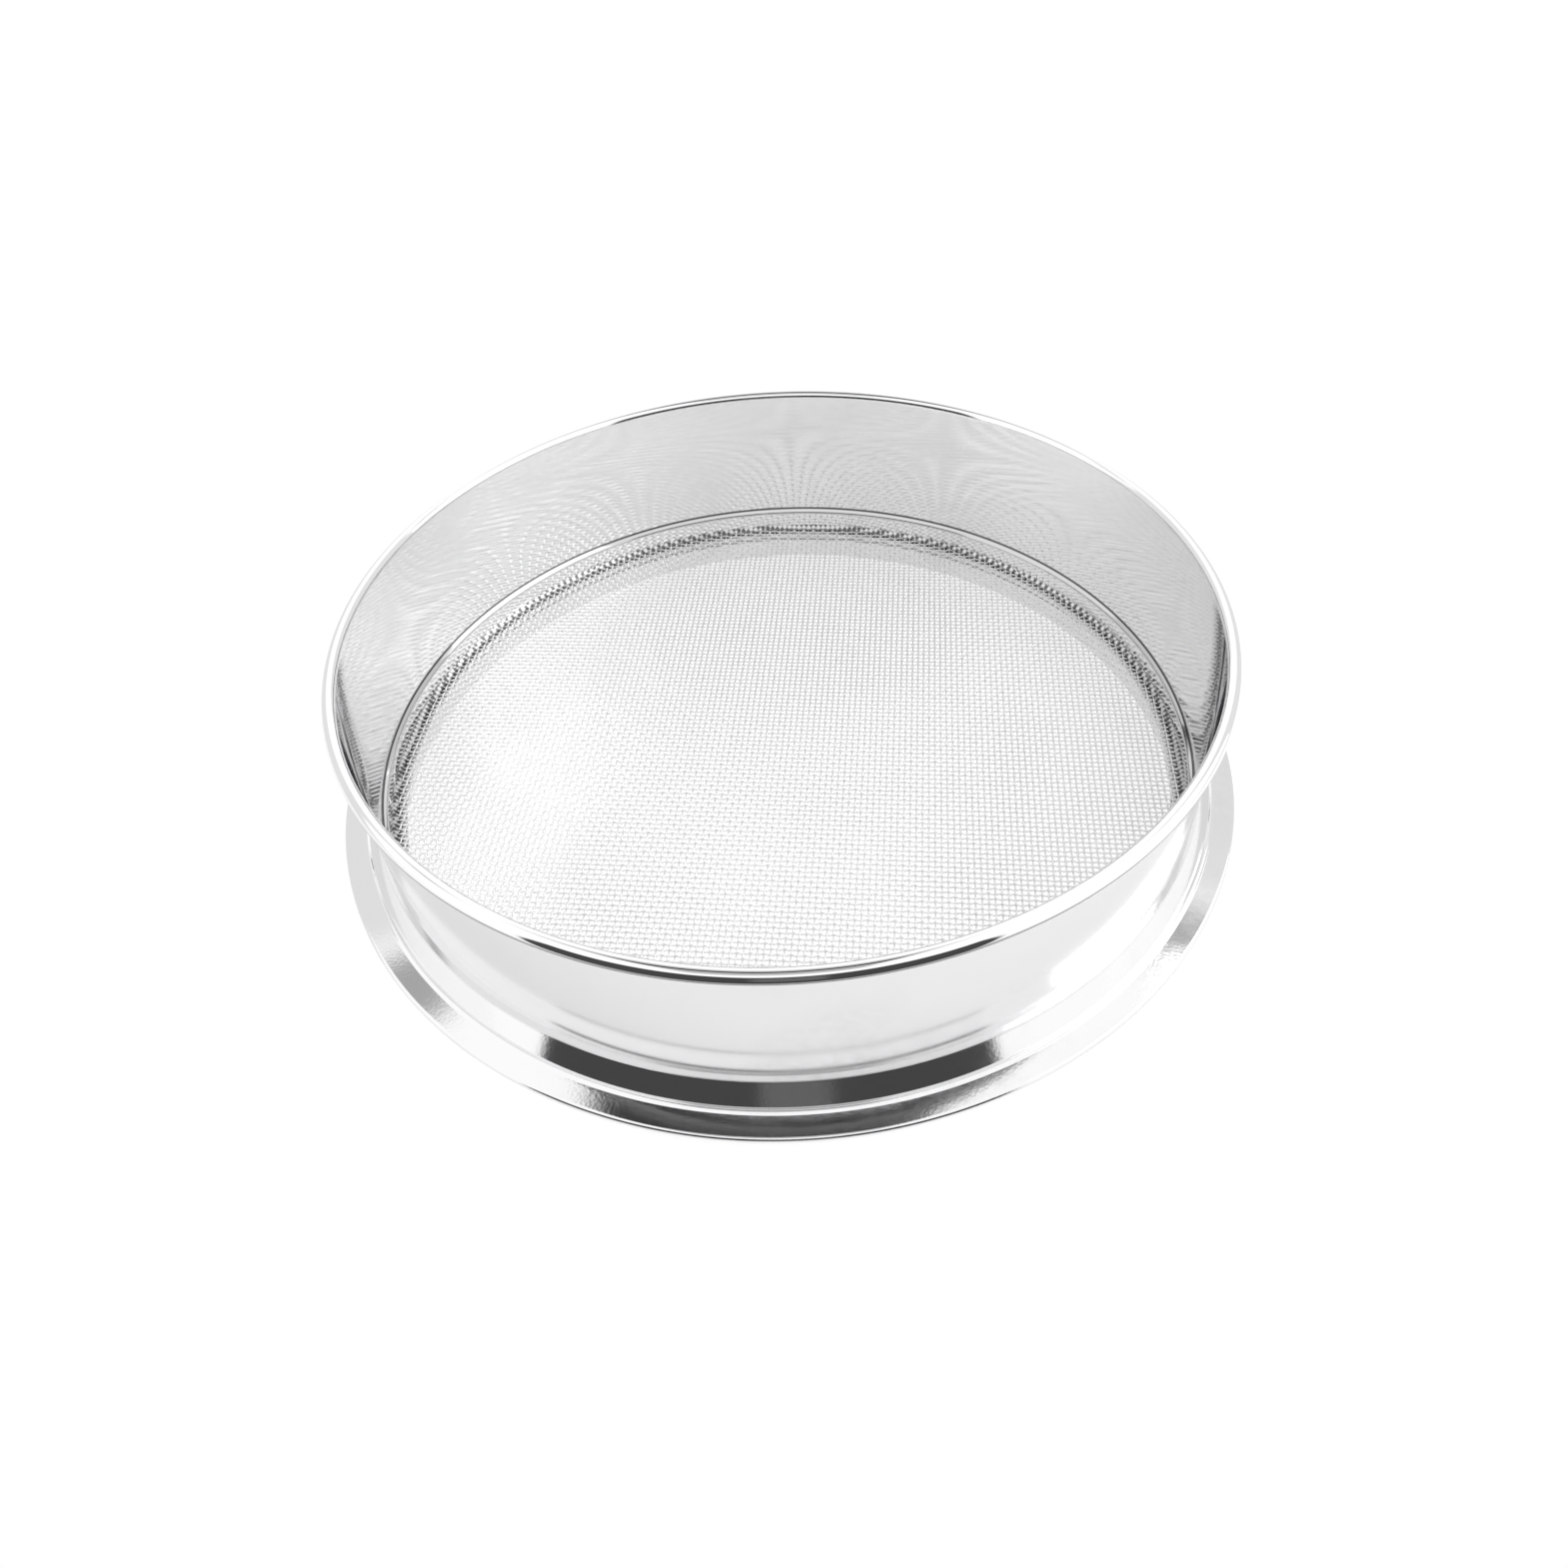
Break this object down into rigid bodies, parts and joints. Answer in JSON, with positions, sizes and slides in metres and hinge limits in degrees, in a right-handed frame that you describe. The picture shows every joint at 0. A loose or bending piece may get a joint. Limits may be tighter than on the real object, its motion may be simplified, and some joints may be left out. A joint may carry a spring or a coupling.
{
  "type": "test sieve",
  "caption": "Round woven-wire test sieve with a rolled rim, a neck, a flared base ring and a skirt that nests in the sieve or pan below.",
  "frame": {"origin": "centre of the foot, on the surface that the sieve stands on", "axes": "+Z along the sieve's axis, from the foot up to the rim; the wires of the cloth run along X and Y"},
  "size_m": [0.221, 0.221, 0.055],
  "materials": {
    "frame_steel": "fine satin",
    "base_steel": "polished",
    "wire_steel": "bright drawn wire",
    "seat_steel": "satin",
    "solder": "smooth run solder"
  },
  "bodies": {
    "root": {"frame": "frame_steel", "base_ring": "base_steel", "wire_cloth": "wire_steel", "seat_ring": "seat_steel", "solder_fillet": "solder"}
  },
  "joints": []
}
